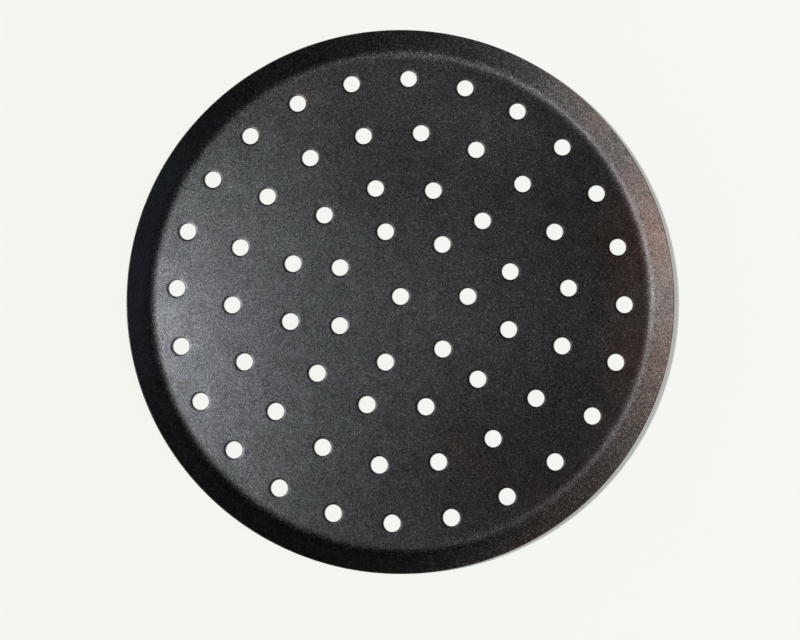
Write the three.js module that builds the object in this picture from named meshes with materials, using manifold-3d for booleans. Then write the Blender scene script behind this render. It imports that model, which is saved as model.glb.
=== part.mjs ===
// Perforated pizza pan: one round blank of sheet steel, punched with vent holes and pressed
// into a shallow dish with a sloping wall. Millimetres, +Z up. The origin lies in the middle
// of the underside, on the surface that the pan rests on.

import * as THREE from 'three';
import { mergeVertices } from 'three/addons/utils/BufferGeometryUtils.js';
import Module from 'manifold-3d';

// Sheet and dish
const SHEET = 1.0;              // thickness of the steel
const RIM_DIAMETER = 322;       // across the outer edge of the rim
const PAN_HEIGHT = 8;           // underside of the floor to the top of the rim
const WALL_ANGLE_DEG = 30;      // slope of the wall above the floor
const BEND_RADIUS = 9;          // inside radius where the floor turns up into the wall
const EDGE_ROUND = 0.3;         // deburred corners of the cut edge
const EDGE_FLAT = 0.1;          // least flat left between those two corners

// Vent holes
const HOLE_DIAMETER = 10;       // punch size
const LIP_WIDTH = 1.7;          // ring round each hole that the punch draws down on the upper face
const LIP_DEPTH = 0.2;          // how far that ring is drawn down at the hole
const HOLE_PITCH = 35;          // spacing aimed at along each ring
const INNER_RING_RADIUS = 40;   // ring nearest the centre hole
const RING_STEP = 33;           // from the outermost ring inwards, ring to ring
const RIM_MARGIN = 12.9;        // outermost hole centres to the start of the bend

// Fineness of the curves
const ROUND_SEGMENTS = 96;
const BEND_STEPS = 5;
const EDGE_STEPS = 2;
const HOLE_SEGMENTS = 16;

const SEASONED_STEEL = { color: 0x38383a, roughness: 0.45, metalness: 0.35 };

const slope = THREE.MathUtils.degToRad(WALL_ANGLE_DEG);
const alongWall = new THREE.Vector2(Math.cos(slope), Math.sin(slope));
const offWall = new THREE.Vector2(-Math.sin(slope), Math.cos(slope));

// The straight wall ends where its rounded upper corner touches the height of the pan, and the
// flat floor ends where that wall, carried down through the bend, leaves the rim at its diameter.
const edgeRound = Math.min(EDGE_ROUND, (SHEET - EDGE_FLAT) / 2);
const bendRise = BEND_RADIUS * (1 - alongWall.x);
const cornerRise = edgeRound * (1 - alongWall.x);
const wallLength = (PAN_HEIGHT - SHEET - bendRise - cornerRise) / alongWall.y;
const bendRun = (BEND_RADIUS + SHEET) * alongWall.y;
const cornerRun = edgeRound * (1 - alongWall.y);
const floorRadius = RIM_DIAMETER / 2 - bendRun - wallLength * alongWall.x - cornerRun;
const bendCentre = new THREE.Vector2(floorRadius, SHEET + BEND_RADIUS);

/** Points of an arc from one angle to another, in radians, with both ends. */
function arc(centre, radius, from, to, steps) {
  const points = [];
  for (let i = 0; i <= steps; i += 1) {
    const angle = from + ((to - from) * i) / steps;
    points.push(new THREE.Vector2(radius * Math.cos(angle), radius * Math.sin(angle)).add(centre));
  }
  return points;
}

/** Cross-section of the sheet from the axis, out along the underside and back over the top. */
function sheetProfile() {
  const down = -Math.PI / 2;
  const under = arc(bendCentre, BEND_RADIUS + SHEET, down, down + slope, BEND_STEPS);
  const over = arc(bendCentre, BEND_RADIUS, down + slope, down, BEND_STEPS);
  const lowerCorner = under.at(-1).clone()
    .addScaledVector(alongWall, wallLength)
    .addScaledVector(offWall, edgeRound);
  const upperCorner = over[0].clone()
    .addScaledVector(alongWall, wallLength)
    .addScaledVector(offWall, -edgeRound);
  return [
    new THREE.Vector2(0, 0),
    ...under,
    ...arc(lowerCorner, edgeRound, slope - Math.PI / 2, slope, EDGE_STEPS),
    ...arc(upperCorner, edgeRound, slope, slope + Math.PI / 2, EDGE_STEPS),
    ...over,
    new THREE.Vector2(0, SHEET),
  ];
}

/**
 * Profile of the punch, which leaves a straight hole with a shallow lip on the upper face.
 * It runs past both faces by one thickness of the sheet, and its cone a tenth past the upper one.
 */
function punchProfile() {
  const radius = HOLE_DIAMETER / 2;
  const shoulder = radius + 1.1 * LIP_WIDTH;
  return [
    new THREE.Vector2(0, -SHEET),
    new THREE.Vector2(radius, -SHEET),
    new THREE.Vector2(radius, SHEET - LIP_DEPTH),
    new THREE.Vector2(shoulder, SHEET + 0.1 * LIP_DEPTH),
    new THREE.Vector2(shoulder, SHEET + SHEET),
    new THREE.Vector2(0, SHEET + SHEET),
  ];
}

/** Radii of the hole rings: even steps in from the rim, with room left for the inner ring. */
function ringRadii() {
  const radii = [];
  let radius = floorRadius - RIM_MARGIN;
  while (radius - INNER_RING_RADIUS > RING_STEP / 2) {
    radii.push(radius);
    radius -= RING_STEP;
  }
  return [...radii, INNER_RING_RADIUS];
}

/** Hole centres: one in the middle and rings that all start on the same spoke, along +Y. */
function holeCentres() {
  const centres = [new THREE.Vector2(0, 0)];
  for (const radius of ringRadii()) {
    const count = Math.round((2 * Math.PI * radius) / HOLE_PITCH);
    for (let i = 0; i < count; i += 1) {
      const angle = Math.PI / 2 + (2 * Math.PI * i) / count;
      centres.push(new THREE.Vector2(radius * Math.cos(angle), radius * Math.sin(angle)));
    }
  }
  return centres;
}

/** A profile turned about the Z axis. */
function turned(profile, segments) {
  return new THREE.LatheGeometry(profile, segments).rotateX(Math.PI / 2);
}

const wasm = await Module();
wasm.setup();

/** A closed three.js geometry as a solid that can be cut. */
function solidOf(geometry) {
  const bare = geometry.clone();
  bare.deleteAttribute('normal');
  bare.deleteAttribute('uv');
  const merged = mergeVertices(bare);
  const vertProperties = new Float32Array(merged.attributes.position.array);
  const triVerts = new Uint32Array(merged.index.array);
  return new wasm.Manifold(new wasm.Mesh({ numProp: 3, vertProperties, triVerts }));
}

/** A cut solid as a three.js geometry again. */
function geometryOf(solid) {
  const mesh = solid.getMesh();
  const geometry = new THREE.BufferGeometry();
  geometry.setAttribute('position', new THREE.BufferAttribute(mesh.vertProperties, 3));
  geometry.setIndex(new THREE.BufferAttribute(mesh.triVerts, 1));
  geometry.computeVertexNormals();
  return geometry;
}

/** The pressed dish with every vent hole punched through its floor. */
function panGeometry() {
  const dish = solidOf(turned(sheetProfile(), ROUND_SEGMENTS));
  const punch = turned(punchProfile(), HOLE_SEGMENTS);
  const [middle, ...others] = holeCentres().map(
    (centre) => solidOf(punch.clone().translate(centre.x, centre.y, 0)),
  );
  const punches = others.reduce((joined, next) => joined.add(next), middle);
  return geometryOf(dish.subtract(punches));
}

const pan = new THREE.Mesh(panGeometry(), new THREE.MeshStandardMaterial(SEASONED_STEEL));
pan.name = 'pan_body';

const pizzaPan = new THREE.Group();
pizzaPan.add(pan);

export default pizzaPan;
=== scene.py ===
"""Perforated pizza pan, dressed: one dark pressed sheet of steel on a pale studio floor.

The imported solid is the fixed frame. The pan is modelled again at the same sizes with finer curves,
rounded punch lips and a deburred edge, and it takes a seasoned steel finish made of nodes.
"""

import logging
import math
from collections.abc import Iterable
from dataclasses import dataclass
from enum import Enum, IntEnum

import bpy
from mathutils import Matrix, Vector


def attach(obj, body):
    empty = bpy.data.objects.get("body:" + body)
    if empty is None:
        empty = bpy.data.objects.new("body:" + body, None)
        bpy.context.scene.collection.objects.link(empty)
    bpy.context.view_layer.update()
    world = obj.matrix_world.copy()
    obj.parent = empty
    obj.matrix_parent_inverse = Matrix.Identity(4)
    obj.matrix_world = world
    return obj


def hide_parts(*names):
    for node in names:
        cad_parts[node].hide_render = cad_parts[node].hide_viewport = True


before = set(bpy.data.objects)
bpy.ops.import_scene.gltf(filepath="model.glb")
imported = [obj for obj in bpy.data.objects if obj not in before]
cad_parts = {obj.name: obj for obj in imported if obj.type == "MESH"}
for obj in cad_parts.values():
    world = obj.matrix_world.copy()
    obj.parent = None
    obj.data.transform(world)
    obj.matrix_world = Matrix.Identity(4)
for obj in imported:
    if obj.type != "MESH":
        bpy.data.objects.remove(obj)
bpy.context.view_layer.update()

LOG = logging.getLogger("pizza_pan")
MM = 0.001
MIDDLE = 0.5  # of a draw from 0 to 1; as a grey it leaves a colour alone when overlaid

Colour = tuple[float, float, float]
Point = tuple[float, float, float]


class Blend(Enum):
    """Ways in which two colours are laid over each other."""

    OVER = "MIX"
    TINT = "MULTIPLY"
    SPECKLE = "OVERLAY"


class MixSocket(IntEnum):
    """Sockets of a Mix node for colours, by number because their names repeat."""

    FACTOR = 0
    UNDER = 6
    OVER = 7
    RESULT = 2


class Nodes:
    """A node tree that is filled by one method."""

    def __init__(self, tree: bpy.types.NodeTree) -> None:
        """Empties a tree and keeps it.

        Args:
            tree: The tree of a material or of the world.
        """
        self.tree = tree
        self.tree.nodes.clear()

    def add(self, kind: str, settings: dict | None = None,
            inputs: dict | None = None) -> bpy.types.Node:
        """Adds one node.

        Args:
            kind: The node's type.
            settings: Properties of the node, set before its sockets. "stops" fills a colour ramp.
            inputs: Values or links by socket name or number.

        Returns:
            The new node.
        """
        node = self.tree.nodes.new(kind)
        for name, value in (settings or {}).items():
            if name == "stops":
                self._fill_ramp(node.color_ramp, value)
            else:
                setattr(node, name, value)
        for key, value in (inputs or {}).items():
            source = value.socket if isinstance(value, Value) else value
            if isinstance(source, bpy.types.NodeSocket):
                self.tree.links.new(source, node.inputs[key])
            else:
                node.inputs[key].default_value = source
        return node

    @staticmethod
    def _fill_ramp(ramp: bpy.types.ColorRamp, stops: Iterable[tuple[float, Colour]]) -> None:
        """Sets a ramp's stops.

        Args:
            ramp: The ramp, which starts with two stops.
            stops: Place and colour of each stop.
        """
        ramp.elements.remove(ramp.elements[1])
        for number, (place, colour) in enumerate(stops):
            element = ramp.elements[0] if number == 0 else ramp.elements.new(place)
            element.position = place
            element.color = (*colour, 1.0)

    def value(self, kind: str, settings: dict | None = None, inputs: dict | None = None,
              output: int | str = 0) -> "Value":
        """Adds a node and wraps one of its outputs for maths.

        Args:
            kind: The node's type.
            settings: Properties of the node.
            inputs: Values or links by socket name or number.
            output: Name or number of the output.

        Returns:
            The wrapped output.
        """
        return Value(self, self.add(kind, settings, inputs).outputs[output])

    def split(self, kind: str, source: "Value") -> list["Value"]:
        """Adds a node that takes a colour or a place apart.

        Args:
            kind: The node's type.
            source: The colour or the place.

        Returns:
            Its three parts.
        """
        return [Value(self, part) for part in self.add(kind, inputs={0: source}).outputs]

    def vector(self, operation: str, *terms: "Value | Point | Vector",
               output: int | str = 0) -> "Value":
        """Adds one Vector Math node.

        Args:
            operation: The node's operation.
            terms: Its inputs in order.
            output: Name or number of the output, "Value" for a number.

        Returns:
            The node's result.
        """
        settings = {"operation": operation}
        return self.value("ShaderNodeVectorMath", settings, dict(enumerate(terms)), output)

    def away(self, place: "Value", point: "Point | Vector") -> "Value":
        """Distance of a place from a point, in metres."""
        return self.vector("DISTANCE", place, point, output="Value")

    def grey(self, level: "Value") -> "Value":
        """A grey of a given level."""
        return self.value("ShaderNodeCombineColor", inputs={0: level, 1: level, 2: level})

    def blend(self, factor: "Value | float", under: "Value | Colour", over: "Value | Colour",
              how: Blend = Blend.OVER) -> "Value":
        """Lays one colour over another.

        Args:
            factor: How much of the upper colour shows.
            under: The lower colour.
            over: The upper colour.
            how: The way that they are laid.

        Returns:
            The colour that results.
        """
        lower, upper = (c if isinstance(c, Value) else (*c, 1.0) for c in (under, over))
        settings = {"data_type": "RGBA", "blend_type": how.value}
        inputs = {MixSocket.FACTOR: factor, MixSocket.UNDER: lower, MixSocket.OVER: upper}
        return self.value("ShaderNodeMix", settings, inputs, MixSocket.RESULT)


class Value:
    """A number, place or colour that varies. Python's operators on a number add Math nodes."""

    def __init__(self, nodes: Nodes, socket: bpy.types.NodeSocket) -> None:
        """Wraps a socket.

        Args:
            nodes: The tree that the socket is in.
            socket: An output socket.
        """
        self.nodes = nodes
        self.socket = socket

    def _math(self, operation: str, *terms: "Value | float") -> "Value":
        """Adds one Math node.

        Args:
            operation: The node's operation.
            terms: Its inputs in order.

        Returns:
            The node's result.
        """
        return self.nodes.value("ShaderNodeMath", {"operation": operation}, dict(enumerate(terms)))

    def __add__(self, other: "Value | float") -> "Value":
        """Sum."""
        return self._math("ADD", self, other)

    __radd__ = __add__

    def __sub__(self, other: "Value | float") -> "Value":
        """Difference."""
        return self._math("SUBTRACT", self, other)

    def __rsub__(self, other: float) -> "Value":
        """Difference from a number."""
        return self._math("SUBTRACT", other, self)

    def __mul__(self, other: "Value | float") -> "Value":
        """Product."""
        return self._math("MULTIPLY", self, other)

    __rmul__ = __mul__

    def __truediv__(self, other: "Value | float") -> "Value":
        """Quotient."""
        return self._math("DIVIDE", self, other)

    def __rpow__(self, base: float) -> "Value":
        """Power of a number."""
        return self._math("POWER", base, self)

    def at_most(self, other: "Value | float") -> "Value":
        """The smaller of two."""
        return self._math("MINIMUM", self, other)

    def centred(self) -> "Value":
        """A draw from 0 to 1, moved so that it varies about 0."""
        return self - MIDDLE

    def step(self, low: float, high: float) -> "Value":
        """Smooth step from 0 at one value to 1 at another.

        Args:
            low: Where the step starts.
            high: Where it ends.

        Returns:
            A value from 0 to 1.
        """
        settings = {"interpolation_type": "SMOOTHSTEP", "clamp": True}
        inputs = {"Value": self, "From Min": low, "From Max": high, "To Min": 0.0, "To Max": 1.0}
        return self.nodes.value("ShaderNodeMapRange", settings, inputs)


@dataclass(frozen=True)
class Mark:
    """A soft round patch that is browner, lighter or darker. Its shade is partly uneven seasoning
    and partly painted light and shade.
    """

    x: float
    y: float
    reach: float
    shade: float = 0.0
    brown: float = 0.0


@dataclass(frozen=True)
class SeasonedSteel:
    """Oil baked on to rolled steel: nearly black metal with a fine bright grain and heat tints.

    Shades are natural logarithms of brightness, so that they add up. A heat is a place on the
    ramp of tints.
    """

    name: str = "seasoned_steel"

    # Heat tints
    tints: tuple[tuple[float, Colour], ...] = (
        (0.00, (0.0414, 0.0433, 0.0478)),
        (0.15, (0.0428, 0.0433, 0.0464)),
        (0.35, (0.0402, 0.0433, 0.0441)),
        (0.60, (0.0454, 0.0433, 0.0415)),
        (0.82, (0.0553, 0.0433, 0.0391)),
        (1.00, (0.0641, 0.0433, 0.0363)),
    )
    lilac_heat: float = 0.10
    lilac_heart: Point = (-139 * MM, 3 * MM, 0.0)
    lilac_from: float = 40 * MM
    lilac_to: float = 130 * MM
    grey_heat: float = 0.38
    brown_heat: float = 0.77
    tint_size: float = 24 * MM
    tint_spread: float = 0.75

    # Browned side, which lies far from the cool heart, with painted sheen on its wall, which faces
    # the lamp, and the gloss there and on the drawn wall
    cool_heart: Point = (-56.7 * MM, 21.2 * MM, 0.0)
    browned_from: float = 172 * MM
    browned_to: float = 206 * MM
    # painted sheen: the browned wall, which faces the lamp, is made lighter
    browned_wall_painted_sheen: float = 0.32
    browned_contrast: float = 0.80
    browned_roughness: float = 0.055
    drawn_roughness: float = -0.03
    roughness: float = 0.419

    # Grain, with flecks where it is brightest
    grain_size: float = 0.52 * MM
    grain_contrast: float = 0.36
    grain_roughness: float = 0.135
    grain_tilt: float = 0.12
    fleck_from: float = 0.38
    fleck_to: float = 0.50
    fleck_gain: float = 0.55
    fleck_roughness: float = 0.05
    speckle: float = 0.08

    # Orange peel and mottle
    peel_size: float = 0.62 * MM
    peel_depth: float = 0.012 * MM
    mottle_size: float = 13 * MM
    mottle_contrast: float = 0.60
    blotch_detail: float = 2.0

    # Bend, with painted shade along the part of it where the wall is turned away from the lamp
    bend_from: float = 144 * MM
    bend_to: float = 154 * MM
    bend_tint: Colour = (0.0480, 0.0435, 0.0441)
    bend_share: float = 0.80
    bend_contrast: float = 0.70
    bend_shade_heart: Point = (-103 * MM, -48 * MM, 0.0)
    bend_shade_near: float = 110 * MM
    bend_shade_far: float = 180 * MM
    # painted shade: the bend is darkened on the side where the wall is turned away from the lamp
    bend_painted_shade: float = -0.48

    # Painted shade in the lips and bores of the holes, by height, and how far out the holes go
    bore_from: float = 0.258 * MM
    bore_to: float = 0.516 * MM
    lip_foot: float = 0.86 * MM
    lip_top: float = 0.998 * MM
    lip_reach: float = 141 * MM
    lip_fade: float = 1 * MM
    # painted shade round the holes and in their bores
    lip_painted_shade: float = -0.22

    # Soft patches: browner tints, and shades that are partly uneven seasoning and partly painted
    # light and shade
    marks: tuple[Mark, ...] = (
        Mark(32 * MM, -103 * MM, 70 * MM, shade=-0.34, brown=0.32),
        Mark(-48 * MM, -107 * MM, 125 * MM, shade=-0.32),
        Mark(92 * MM, -165 * MM, 82 * MM, shade=-0.60),
        Mark(85 * MM, 85 * MM, 57 * MM, shade=0.46, brown=0.12),
        Mark(43 * MM, 127 * MM, 60 * MM, shade=0.32),
        Mark(-96 * MM, 144 * MM, 47 * MM, shade=-0.35),
        Mark(0 * MM, 73 * MM, 70 * MM, shade=-0.21),
        Mark(-62 * MM, -5 * MM, 74 * MM, shade=-0.18),
        Mark(83 * MM, -2 * MM, 105 * MM, shade=0.13),
        Mark(127 * MM, -4 * MM, 50 * MM, shade=-0.09, brown=0.40),
        Mark(84 * MM, -80 * MM, 36 * MM, shade=-0.16, brown=0.10),
        Mark(74 * MM, 56 * MM, 40 * MM, shade=-0.12, brown=0.12),
        Mark(-30 * MM, 130 * MM, 20 * MM, shade=0.13, brown=0.22),
        Mark(-149 * MM, -22 * MM, 16 * MM, brown=0.45),
        Mark(117 * MM, -56 * MM, 44 * MM, shade=0.07, brown=0.28),
        Mark(149 * MM, -31 * MM, 42 * MM, shade=0.22, brown=-0.12),
        Mark(-142 * MM, 24 * MM, 52 * MM, shade=0.20),
        Mark(153 * MM, 60 * MM, 27 * MM, shade=-0.13, brown=-0.14),
    )

    def material(self) -> bpy.types.Material:
        """Makes the finish.

        Returns:
            The material.
        """
        material = bpy.data.materials.new(self.name)
        material.use_nodes = True
        nodes = Nodes(material.node_tree)
        place = nodes.value("ShaderNodeTexCoord", output="Object")
        grains = nodes.value("ShaderNodeTexVoronoi", {"voronoi_dimensions": "3D"}, {
            "Vector": place, "Scale": 1.0 / self.grain_size}, "Color")
        bright, across, along = nodes.split("ShaderNodeSeparateColor", grains)
        grain = bright.centred()
        flecks = grain.step(self.fleck_from, self.fleck_to)
        flat = nodes.vector("MULTIPLY", place, (1.0, 1.0, 0.0))
        radius = nodes.away(flat, (0.0, 0.0, 0.0))
        browned = nodes.away(place, self.cool_heart).step(self.browned_from, self.browned_to)
        drawn = radius.step(self.bend_from, self.bend_to)
        wall = browned * drawn
        bend = self._bend(radius)

        tone = self._tone(nodes, place, radius, bend)
        heat = self._heat(nodes, place, browned)
        tone, heat = self._marked(nodes, place, tone, heat)
        contrast = self.grain_contrast + wall * self.browned_contrast + bend * self.bend_contrast
        # the browned wall's painted sheen is added to the shade here
        shade = math.e ** (grain * contrast + flecks * self.fleck_gain
                           + wall * self.browned_wall_painted_sheen + tone)
        tinted = nodes.value("ShaderNodeValToRGB", {"stops": self.tints}, {0: heat}, "Color")
        tinted = nodes.blend(bend * browned * self.bend_share, tinted, self.bend_tint)
        specks = nodes.value("ShaderNodeCombineColor", inputs={0: across, 1: MIDDLE, 2: along})
        speckled = nodes.blend(self.speckle, tinted, specks, Blend.SPECKLE)
        colour = nodes.blend(1.0, speckled, nodes.grey(shade), Blend.TINT)

        rough = (self.roughness + browned * self.browned_roughness
                 + (drawn - wall) * self.drawn_roughness
                 + grain * self.grain_roughness + flecks * self.fleck_roughness)
        peel = nodes.value("ShaderNodeBump", inputs={
            "Strength": 1.0, "Distance": self.peel_depth,
            "Height": self._noise(nodes, place, self.peel_size),
            "Normal": self._facets(nodes, across, along)})
        shader = nodes.add("ShaderNodeBsdfPrincipled", inputs={
            "Base Color": colour, "Metallic": 1.0, "Roughness": rough, "Normal": peel})
        nodes.add("ShaderNodeOutputMaterial", inputs={"Surface": shader.outputs[0]})
        return material

    @staticmethod
    def _noise(nodes: Nodes, place: Value, size: float, detail: float = 0.0) -> Value:
        """Soft noise on the piece's own coordinates.

        Args:
            nodes: The material's tree.
            place: The coordinates.
            size: Size of its blotches, in metres.
            detail: Finer layers that are added.

        Returns:
            A value around one half.
        """
        return nodes.value("ShaderNodeTexNoise", {"noise_dimensions": "3D"}, {
            "Vector": place, "Scale": 1.0 / size, "Detail": detail}, "Fac")

    def _tone(self, nodes: Nodes, place: Value, radius: Value, bend: Value) -> Value:
        """Broad shades: the mottle, painted shade in the lips and bores of the holes, and painted
        shade along part of the bend.

        Args:
            nodes: The material's tree.
            place: The coordinates.
            radius: Distance from the pan's axis.
            bend: 1 along the middle of the bend and 0 off it.

        Returns:
            The shade.
        """
        mottle = self._noise(nodes, place, self.mottle_size, self.blotch_detail).centred()
        # the side of the bend that gets painted shade
        shaded_side = 1.0 - nodes.away(place, self.bend_shade_heart).step(self.bend_shade_near, self.bend_shade_far)
        return (mottle * self.mottle_contrast + self._lips(nodes, place, radius) * self.lip_painted_shade
                + bend * shaded_side * self.bend_painted_shade)

    def _heat(self, nodes: Nodes, place: Value, browned: Value) -> Value:
        """How far the heat took the tint: lilac to grey in soft blotches, and brown on one side.

        Args:
            nodes: The material's tree.
            place: The coordinates.
            browned: 1 on the browned side and 0 away from it.

        Returns:
            The heat.
        """
        blotches = self._noise(nodes, place, self.tint_size, self.blotch_detail).centred()
        grey = nodes.away(place, self.lilac_heart).step(self.lilac_from, self.lilac_to)
        cool = (self.lilac_heat + grey * (self.grey_heat - self.lilac_heat)
                + blotches * self.tint_spread)
        return cool + browned * (self.brown_heat - cool)

    def _marked(self, nodes: Nodes, place: Value, tone: Value,
                heat: Value) -> tuple[Value, Value]:
        """Adds the soft patches.

        Args:
            nodes: The material's tree.
            place: The coordinates.
            tone: The shade without them.
            heat: The heat without them.

        Returns:
            The shade and the heat with them.
        """
        for mark in self.marks:
            patch = 1.0 - nodes.away(place, (mark.x, mark.y, 0.0)).step(0.0, mark.reach)
            # a patch's shade is partly painted light and shade
            if mark.shade:
                tone = tone + patch * mark.shade
            if mark.brown:
                heat = heat + patch * mark.brown
        return tone, heat

    def _facets(self, nodes: Nodes, across: Value, along: Value) -> Value:
        """The surface's normal, tilted a little a different way on every grain.

        Args:
            nodes: The material's tree.
            across: A draw from 0 to 1 for each grain.
            along: Another such draw.

        Returns:
            The normal.
        """
        lean = nodes.value("ShaderNodeCombineXYZ", inputs={
            0: across.centred() * self.grain_tilt, 1: along.centred() * self.grain_tilt})
        normal = nodes.value("ShaderNodeNewGeometry", output="Normal")
        return nodes.vector("NORMALIZE", nodes.vector("ADD", normal, lean))

    def _bend(self, radius: Value) -> Value:
        """Where the sheet was drawn round the bend.

        Args:
            radius: Distance from the pan's axis.

        Returns:
            A value from 0 off the bend to 1 along its middle.
        """
        middle = (self.bend_from + self.bend_to) / 2
        return radius.step(self.bend_from, middle) * (1.0 - radius.step(middle, self.bend_to))

    def _lips(self, nodes: Nodes, place: Value, radius: Value) -> Value:
        """Where shade is painted, in the drawn lips round the holes and in the holes.

        Args:
            nodes: The material's tree.
            place: The coordinates.
            radius: Distance from the pan's axis.

        Returns:
            A value from 0 on the flat faces to 1 at a hole's edge.
        """
        height = nodes.split("ShaderNodeSeparateXYZ", place)[2]
        above = height.step(self.bore_from, self.bore_to)
        below = 1.0 - height.step(self.lip_foot, self.lip_top)
        floor = 1.0 - radius.step(self.lip_reach - self.lip_fade, self.lip_reach)
        return above * below * floor


@dataclass(frozen=True)
class PaleBoard:
    """The matt board that the pan lies on.

    Part of the tone that is seen is the board's own, and grows as the lamp's light falls off, so
    the board looks even and the pan's shadow stays light.
    """

    name: str = "pale_board"
    colour: Colour = (0.915, 0.922, 0.877)
    own_tone: float = 0.38

    def material(self, lamp: Vector) -> bpy.types.Material:
        """Makes the board's finish.

        Args:
            lamp: Where the lamp hangs.

        Returns:
            The material.
        """
        material = bpy.data.materials.new(self.name)
        material.use_nodes = True
        nodes = Nodes(material.node_tree)
        path = nodes.add("ShaderNodeLightPath")
        seen = Value(nodes, path.outputs["Is Camera Ray"])
        for ray in ("Is Glossy Ray", "Is Transmission Ray"):
            seen = seen + Value(nodes, path.outputs[ray])
        share = seen.at_most(1.0) * self.own_tone

        # The lamp's light as a share of that at the origin: the cosines at the lamp and at the
        # board over the distance squared.
        place = nodes.value("ShaderNodeTexCoord", output="Object")
        away = nodes.away(place, lamp)
        facing = nodes.vector("DOT_PRODUCT", nodes.vector("SUBTRACT", lamp, place),
                              lamp.normalized(), output="Value")
        falloff = facing / (away * away * away * away) * lamp.length ** 3
        lift = (1.0 - falloff * (1.0 - self.own_tone)) / self.own_tone
        tone = nodes.blend(1.0, self.colour, nodes.grey(lift), Blend.TINT)

        matt = nodes.add("ShaderNodeBsdfDiffuse", inputs={"Color": (*self.colour, 1.0)})
        own = nodes.add("ShaderNodeEmission", inputs={"Color": tone, "Strength": 1.0})
        mixed = nodes.add("ShaderNodeMixShader", inputs={
            0: share, 1: matt.outputs[0], 2: own.outputs[0]})
        nodes.add("ShaderNodeOutputMaterial", inputs={"Surface": mixed.outputs[0]})
        return material


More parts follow.
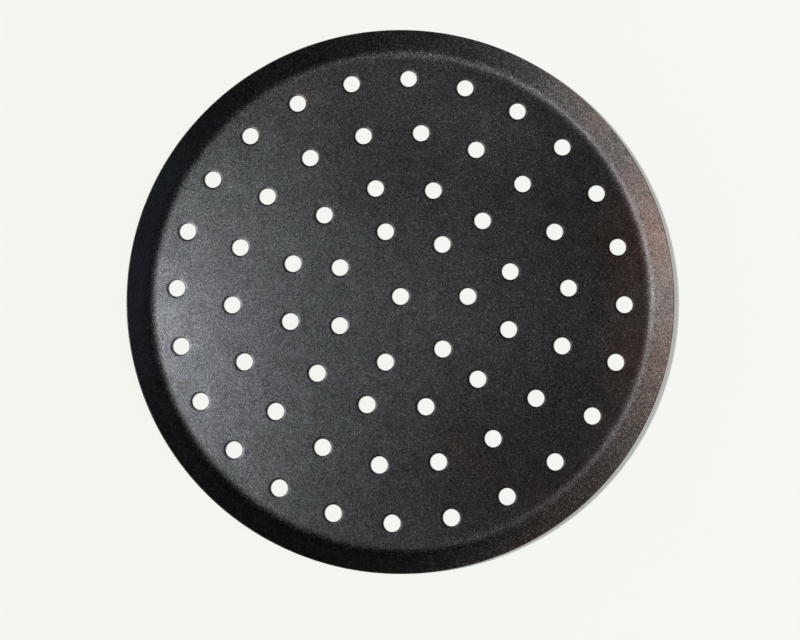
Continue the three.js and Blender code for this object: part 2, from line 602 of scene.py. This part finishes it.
@dataclass
class PanBody:
    """The pan: a flat floor, a bend, a straight sloping wall with a cut edge, and rings of holes.

    The bend eases in from the floor over its lead and out into the wall over its tail.
    """

    # Sheet and dish
    sheet: float = 1.0 * MM
    rim_radius: float = 161.0 * MM
    height: float = 8.0 * MM
    wall_angle: float = math.radians(30)
    bend_radius: float = 9.0 * MM
    bend_lead: float = 4.6 * MM
    bend_tail: float = 2.4 * MM
    edge_round: float = 0.3 * MM

    # Vent holes with their drawn lips
    hole_radius: float = 5.0 * MM
    lip_width: float = 1.7 * MM
    lip_depth: float = 0.2 * MM
    lip_power: float = 2.2
    hole_deburr: float = 0.12 * MM
    hole_pitch: float = 35 * MM
    inner_ring: float = 40 * MM
    ring_step: float = 33 * MM
    rim_margin: float = 12.9 * MM

    # Fineness of the curves
    round_steps: int = 256
    bend_steps: int = 18
    wall_steps: int = 3
    edge_steps: int = 4
    hole_steps: int = 48
    lip_steps: int = 8
    smooth_angle: float = math.radians(38)

    # Reach for finding a corner, for welding points, and for clearing the upper face
    near: float = 0.05 * MM
    weld: float = 0.001 * MM
    clear: float = 0.001 * MM

    finish: SeasonedSteel = SeasonedSteel()

    @property
    def wall_length(self) -> float:
        """Length of the straight wall.

        Returns:
            The length from the bend to the cut edge.
        """
        bend_rise = self.bend_radius * (1 - math.cos(self.wall_angle))
        corner_rise = self.edge_round * (1 - math.cos(self.wall_angle))
        rise = self.height - self.sheet - bend_rise - corner_rise
        return rise / math.sin(self.wall_angle) + self.edge_round

    @property
    def floor_radius(self) -> float:
        """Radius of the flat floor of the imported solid, whose bend is one plain arc.

        Returns:
            The radius at which that arc starts.
        """
        straight = (self.wall_length - self.edge_round) * math.cos(self.wall_angle)
        bend = (self.bend_radius + self.sheet) * math.sin(self.wall_angle)
        corner = self.edge_round * (1 - math.sin(self.wall_angle))
        return self.rim_radius - bend - straight - corner

    def build(self) -> bpy.types.Object:
        """Models the pan.

        Returns:
            The finished object, with its place in its mesh.
        """
        pan = self._press()
        self._thicken(pan)
        self._deburr_rim(pan)
        self._pierce(pan, self._punches())
        self._smooth(pan)
        return pan

    def dress(self, pan: bpy.types.Object) -> None:
        """Gives the pan its finish and its place in the frame.

        Args:
            pan: The modelled pan.
        """
        pan.data.materials.clear()
        pan.data.materials.append(self.finish.material())
        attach(pan, "root")
        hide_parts("pan_body")

    def _bend(self) -> list[tuple[float, float]]:
        """Run and rise along the bend, which eases in from the floor and out into the wall.

        Returns:
            The points after the first, which is at 0, 0.
        """
        def eased(along: float, ease: float) -> float:
            """Length of full curvature that an eased start is worth."""
            start = min(max(along, 0.0), ease)
            return start * start / (2 * ease) + max(along - ease, 0.0)

        tight = self.bend_radius * self.wall_angle + (self.bend_lead - self.bend_tail) / 2
        step = (tight + self.bend_tail) / self.bend_steps
        run = rise = 0.0
        points = []
        for i in range(self.bend_steps):
            along = (i + 0.5) * step
            full = eased(along, self.bend_lead) - eased(along - tight, self.bend_tail)
            turn = full / self.bend_radius
            run += step * math.cos(turn)
            rise += step * math.sin(turn)
            points.append((run, rise))
        return points

    @property
    def flat_radius(self) -> float:
        """Radius of the flat floor here, where the bend is eased and the wall is left where it is.

        Returns:
            The radius at which the eased bend starts.
        """
        run, rise = self._bend()[-1]
        corner = self.floor_radius + self.bend_radius * math.tan(self.wall_angle / 2)
        return corner - (run - rise / math.tan(self.wall_angle))

    def _section(self) -> list[tuple[float, float]]:
        """Radius and height along the upper face, from the floor's edge to the cut edge.

        Returns:
            The points after the floor's edge.
        """
        points = [(self.flat_radius + run, self.sheet + rise) for run, rise in self._bend()]
        foot = points[-1]
        corner = self.floor_radius + self.bend_radius * math.sin(self.wall_angle)
        top = corner + self.wall_length * math.cos(self.wall_angle)
        for i in range(1, self.wall_steps + 1):
            run = (top - foot[0]) * i / self.wall_steps
            points.append((foot[0] + run, foot[1] + run * math.tan(self.wall_angle)))
        return points

    def _press(self) -> bpy.types.Object:
        """Draws the upper face: a blank whose border is pulled out into the bend and the wall.

        Returns:
            The open upper face.
        """
        bpy.ops.object.select_all(action="DESELECT")
        bpy.ops.mesh.primitive_circle_add(
            vertices=self.round_steps, radius=self.flat_radius, fill_type="NGON",
            location=(0, 0, self.sheet))
        pan = bpy.context.object
        pan.name = pan.data.name = "pan"
        bpy.ops.object.transform_apply(location=True, rotation=True, scale=True)
        bpy.ops.object.mode_set(mode="EDIT")
        bpy.ops.mesh.select_mode(type="EDGE")
        bpy.ops.mesh.select_all(action="SELECT")
        radius, level = self.flat_radius, self.sheet
        for next_radius, next_level in self._section():
            bpy.ops.mesh.extrude_edges_indiv()
            bpy.ops.transform.translate(value=(0, 0, next_level - level))
            ratio = next_radius / radius
            bpy.ops.transform.resize(value=(ratio, ratio, 1), center_override=(0, 0, 0))
            radius, level = next_radius, next_level
        bpy.ops.mesh.select_all(action="SELECT")
        bpy.ops.mesh.remove_doubles(threshold=self.weld)
        bpy.ops.mesh.normals_make_consistent(inside=False)
        bpy.ops.object.mode_set(mode="OBJECT")
        if max(pan.data.polygons, key=lambda face: face.area).normal.z < 0:
            pan.data.flip_normals()
        return pan

    def _thicken(self, pan: bpy.types.Object) -> None:
        """Gives the upper face the thickness of the sheet, downwards.

        Args:
            pan: The open upper face.
        """
        solid = pan.modifiers.new("sheet", "SOLIDIFY")
        solid.thickness = self.sheet
        solid.offset = -1.0
        solid.use_even_offset = True
        solid.use_quality_normals = True
        bpy.ops.object.modifier_apply(modifier=solid.name)

    def _deburr_rim(self, pan: bpy.types.Object) -> None:
        """Rounds the two corners of the cut edge.

        Args:
            pan: The thick dish.
        """
        upper = self._section()[-1]
        lower = (upper[0] + self.sheet * math.sin(self.wall_angle),
                 upper[1] - self.sheet * math.cos(self.wall_angle))
        vertices = pan.data.vertices
        corners = {
            v.index for v in vertices
            for radius, level in (upper, lower)
            if abs(math.hypot(v.co.x, v.co.y) - radius) < self.near
            and abs(v.co.z - level) < self.near}
        level_edges = [
            e.index for e in pan.data.edges
            if corners.issuperset(e.vertices)
            and abs(vertices[e.vertices[0]].co.z - vertices[e.vertices[1]].co.z) < self.near]
        self._select_edges(pan, level_edges)
        bpy.ops.object.mode_set(mode="EDIT")
        bpy.ops.mesh.bevel(offset=self.edge_round, segments=self.edge_steps, affect="EDGES")
        bpy.ops.object.mode_set(mode="OBJECT")

    @staticmethod
    def _pick(piece: bpy.types.Object) -> None:
        """Selects one object alone and makes it the active one.

        Args:
            piece: The object.
        """
        bpy.ops.object.select_all(action="DESELECT")
        piece.select_set(True)
        bpy.context.view_layer.objects.active = piece

    @staticmethod
    def _select_edges(piece: bpy.types.Object, chosen: Iterable[int]) -> None:
        """Selects some edges of a piece and nothing else.

        Args:
            piece: The active object, in object mode.
            chosen: Numbers of the edges.
        """
        bpy.ops.object.mode_set(mode="EDIT")
        bpy.ops.mesh.select_mode(type="EDGE")
        bpy.ops.mesh.select_all(action="DESELECT")
        bpy.ops.object.mode_set(mode="OBJECT")
        for index in chosen:
            piece.data.edges[index].select = True

    def _hole_centres(self) -> list[Vector]:
        """Centres of the holes: one in the middle and rings that start on the +Y spoke.

        Returns:
            The centres, at height 0.
        """
        radii = []
        radius = self.floor_radius - self.rim_margin
        while radius - self.inner_ring > self.ring_step / 2:
            radii.append(radius)
            radius -= self.ring_step
        centres = [Vector((0, 0, 0))]
        for radius in (*radii, self.inner_ring):
            count = round(2 * math.pi * radius / self.hole_pitch)
            for i in range(count):
                angle = math.pi / 2 + 2 * math.pi * i / count
                centres.append(Vector((radius * math.cos(angle), radius * math.sin(angle), 0)))
        return centres

    def _punch_section(self) -> list[tuple[float, float]]:
        """Radius and height up the side of the punch, past both faces of the sheet.

        Returns:
            The points from the lowest to the highest.
        """
        past = self.sheet / 2
        points = [(self.hole_radius + self.hole_deburr + past, -past),
                  (self.hole_radius, self.hole_deburr)]
        for i in range(self.lip_steps + 1):
            out = i / self.lip_steps
            drawn = self.lip_depth * (1 - out) ** self.lip_power
            level = self.sheet - drawn + self.clear
            points.append((self.hole_radius + self.lip_width * out, level))
        points.append((self.hole_radius + self.lip_width, self.sheet + past))
        return points

    def _punches(self) -> bpy.types.Object:
        """Models one punch with a shallow shoulder and copies it to every hole.

        Returns:
            All the punches as one object.
        """
        section = self._punch_section()
        foot_radius, foot_level = section[0]
        bpy.ops.object.select_all(action="DESELECT")
        bpy.ops.mesh.primitive_circle_add(
            vertices=self.hole_steps, radius=foot_radius, fill_type="NGON",
            location=(0, 0, foot_level))
        punch = bpy.context.object
        bpy.ops.object.transform_apply(location=True, rotation=True, scale=True)
        bpy.ops.object.mode_set(mode="EDIT")
        bpy.ops.mesh.select_mode(type="FACE")
        bpy.ops.mesh.select_all(action="SELECT")
        for (radius, level), (next_radius, next_level) in zip(section, section[1:]):
            bpy.ops.mesh.extrude_region_move(
                TRANSFORM_OT_translate={"value": (0, 0, next_level - level)})
            ratio = next_radius / radius
            bpy.ops.transform.resize(value=(ratio, ratio, 1), center_override=(0, 0, 0))
        bpy.ops.mesh.select_all(action="SELECT")
        bpy.ops.mesh.normals_make_consistent(inside=False)
        bpy.ops.object.mode_set(mode="OBJECT")
        copies = [punch]
        for centre in self._hole_centres()[1:]:
            self._pick(punch)
            bpy.ops.object.duplicate(linked=False)
            copies.append(bpy.context.object)
            bpy.ops.transform.translate(value=centre)
        self._pick(punch)
        for copy in copies:
            copy.select_set(True)
        bpy.ops.object.join()
        return punch

    def _pierce(self, pan: bpy.types.Object, punches: bpy.types.Object) -> None:
        """Cuts every hole through the floor.

        Args:
            pan: The dish.
            punches: All the punches, which are removed afterwards.
        """
        self._pick(pan)
        cut = pan.modifiers.new("holes", "BOOLEAN")
        cut.operation = "DIFFERENCE"
        cut.solver = "EXACT"
        cut.object = punches
        bpy.ops.object.modifier_apply(modifier=cut.name)
        bpy.data.objects.remove(punches)

    def _smooth(self, pan: bpy.types.Object) -> None:
        """Smooths the curves and keeps the flat faces flat.

        Args:
            pan: The pierced dish.
        """
        bpy.ops.object.shade_smooth_by_angle(angle=self.smooth_angle)
        even = pan.modifiers.new("even_normals", "WEIGHTED_NORMAL")
        even.mode = "FACE_AREA"
        even.keep_sharp = True
        bpy.ops.object.modifier_apply(modifier=even.name)


@dataclass
class Studio:
    """Board, soft lamp, dim surround and camera."""

    # Board and lamp
    board_size: float = 120.0
    lamp_azimuth: float = math.radians(166.0)
    lamp_elevation: float = math.radians(63.0)
    lamp_distance: float = 2.2
    lamp_width: float = 0.24
    lamp_power: float = 50.3

    # Room: its tone, its paler side and the height where the pale foot ends
    surround: Colour = (0.006, 0.007, 0.010)
    pale_tone: Colour = (0.240, 0.289, 0.358)
    pale_side: Point = (0.70, -0.21, 0.68)
    pale_edge: float = 0.85
    pale_core: float = 1.0
    horizon_foot: float = 0.12
    horizon_top: float = 0.26

    # Camera
    camera_place: Point = (-16.88 * MM, -76.26 * MM, 636.91 * MM)
    camera_turn: Point = (math.radians(5.75), math.radians(0.07), math.radians(-12.88))
    camera_lens: float = 48.555
    camera_sensor: float = 36.0
    camera_near: float = 0.01
    camera_far: float = 200.0

    board: PaleBoard = PaleBoard()

    def build(self) -> None:
        """Sets everything up."""
        self._lay_board()
        self._hang_lamp()
        self._surround()
        self._set_camera()
        bpy.context.scene.view_settings.view_transform = "Standard"

    def _lay_board(self) -> None:
        """Lays the board under the pan."""
        bpy.ops.object.select_all(action="DESELECT")
        bpy.ops.mesh.primitive_plane_add(size=self.board_size, location=(0, 0, 0))
        board = bpy.context.object
        board.name = board.data.name = "board"
        board.data.materials.append(self.board.material(self.lamp_place))

    @property
    def lamp_place(self) -> Vector:
        """Where the lamp hangs."""
        return self.lamp_distance * Vector((
            math.cos(self.lamp_elevation) * math.cos(self.lamp_azimuth),
            math.cos(self.lamp_elevation) * math.sin(self.lamp_azimuth),
            math.sin(self.lamp_elevation)))

    def _hang_lamp(self) -> None:
        """Hangs one soft lamp that faces the pan."""
        lamp = bpy.data.lights.new("soft_lamp", "AREA")
        lamp.shape = "DISK"
        lamp.size = self.lamp_width
        lamp.energy = self.lamp_power
        holder = bpy.data.objects.new("soft_lamp", lamp)
        bpy.context.scene.collection.objects.link(holder)
        holder.location = self.lamp_place
        holder.rotation_euler = self.lamp_place.to_track_quat("Z", "Y").to_euler()

    def _surround(self) -> None:
        """Makes the dim room that the pan mirrors, pale low down and paler on one side."""
        world = bpy.data.worlds.new("room")
        world.use_nodes = True
        bpy.context.scene.world = world
        nodes = Nodes(world.node_tree)
        place = nodes.value("ShaderNodeTexCoord", output="Generated")
        height = nodes.split("ShaderNodeSeparateXYZ", place)[2]
        side = nodes.vector("DOT_PRODUCT", place, self.pale_side, output="Value")
        room = nodes.blend(
            side.step(self.pale_edge, self.pale_core), self.surround, self.pale_tone)
        colour = nodes.blend(
            height.step(self.horizon_foot, self.horizon_top), self.board.colour, room)
        shader = nodes.add("ShaderNodeBackground", inputs={"Color": colour, "Strength": 1.0})
        nodes.add("ShaderNodeOutputWorld", inputs={"Surface": shader.outputs[0]})

    def _set_camera(self) -> None:
        """Sets the camera where the photograph was taken from."""
        lens = bpy.data.cameras.new("camera")
        lens.lens = self.camera_lens
        lens.sensor_width = self.camera_sensor
        lens.clip_start = self.camera_near
        lens.clip_end = self.camera_far
        camera = bpy.data.objects.new("camera", lens)
        camera.location = self.camera_place
        camera.rotation_euler = self.camera_turn
        bpy.context.scene.collection.objects.link(camera)
        bpy.context.scene.camera = camera


def main() -> None:
    """Builds the studio and the pan."""
    logging.basicConfig(level=logging.INFO, format="%(name)s: %(message)s")
    Studio().build()
    LOG.info("studio set up")
    body = PanBody()
    pan = body.build()
    body.dress(pan)
    LOG.info("%s: %d faces, floor radius %.2f mm",
             pan.name, len(pan.data.polygons), body.floor_radius / MM)


if __name__ == "__main__":
    main()
